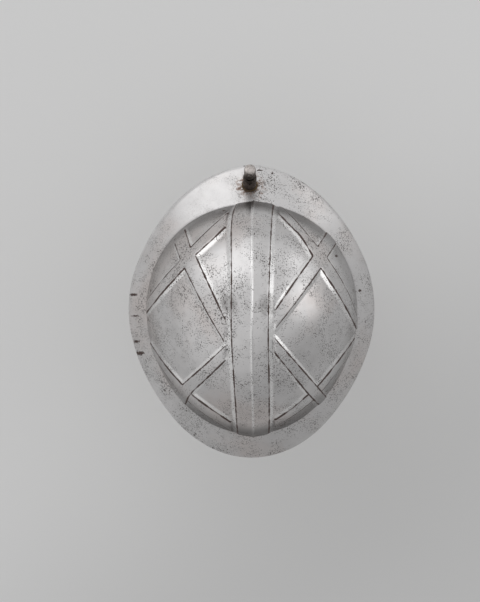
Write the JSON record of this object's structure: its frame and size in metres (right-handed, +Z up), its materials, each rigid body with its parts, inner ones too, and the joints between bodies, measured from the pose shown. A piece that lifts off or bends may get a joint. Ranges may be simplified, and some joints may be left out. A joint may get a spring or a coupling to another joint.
{
  "type": "brimmed steel helmet",
  "caption": "Steel helmet with a sloping brim, a ridged crown with raised diagonal straps, a stud on the front of the brim, a riveted lining and a buckled chin strap.",
  "frame": {"origin": "centre of the head opening, in the plane of the crease between crown and brim", "axes": "+Z up through the crown, -Y to the front where the stud is, +X to the wearer's left"},
  "size_m": [0.255, 0.304, 0.3497],
  "materials": {
    "steel": "old polished forged steel, finely pitted, browned in its grooves",
    "stud_steel": "worn steel with brown stains",
    "iron": "blackened wrought iron",
    "brass": "dull old brass",
    "leather": "oiled vegetable-tanned leather",
    "linen": "unbleached quilted linen"
  },
  "bodies": {
    "helmet": {"shell": "steel", "front_stud": "stud_steel", "stud_washer": "brass", "stud_rove": "iron", "lining_band": "leather", "band_rivets": "iron", "band_roves": "iron", "quilted_lining": "linen", "strap_rivet_left": "iron", "strap_rivet_right": "iron", "strap_washer_left": "leather", "strap_washer_right": "leather", "strap_rove_left": "iron", "strap_rove_right": "iron"},
    "buckle_side": {"buckle_strap": "leather", "strap_keeper": "leather", "fold_rivets": "brass"},
    "buckle": {"buckle_frame": "iron"},
    "tongue": {"buckle_tongue": "iron"},
    "tongue_side": {"tongue_strap": "leather", "strap_chape": "brass"}
  },
  "joints": [
    {"name": "left_strap_swing", "type": "hinge", "parent": "helmet", "child": "buckle_side", "pos_m": [0.0983, 0, 0.008], "axis": [1, 0, 0], "range_deg": [-35, 35]},
    {"name": "right_strap_swing", "type": "hinge", "parent": "helmet", "child": "tongue_side", "pos_m": [-0.0983, 0, 0.008], "axis": [1, 0, 0], "range_deg": [-35, 35]},
    {"name": "buckle_swing", "type": "hinge", "parent": "buckle_side", "child": "buckle", "pos_m": [0.09554, 0, -0.087], "axis": [0, -1, 0], "range_deg": [-40, 40]},
    {"name": "tongue_swing", "type": "hinge", "parent": "buckle", "child": "tongue", "pos_m": [0.09554, 0, -0.087], "axis": [0, -1, 0], "range_deg": [0, 90]}
  ]
}
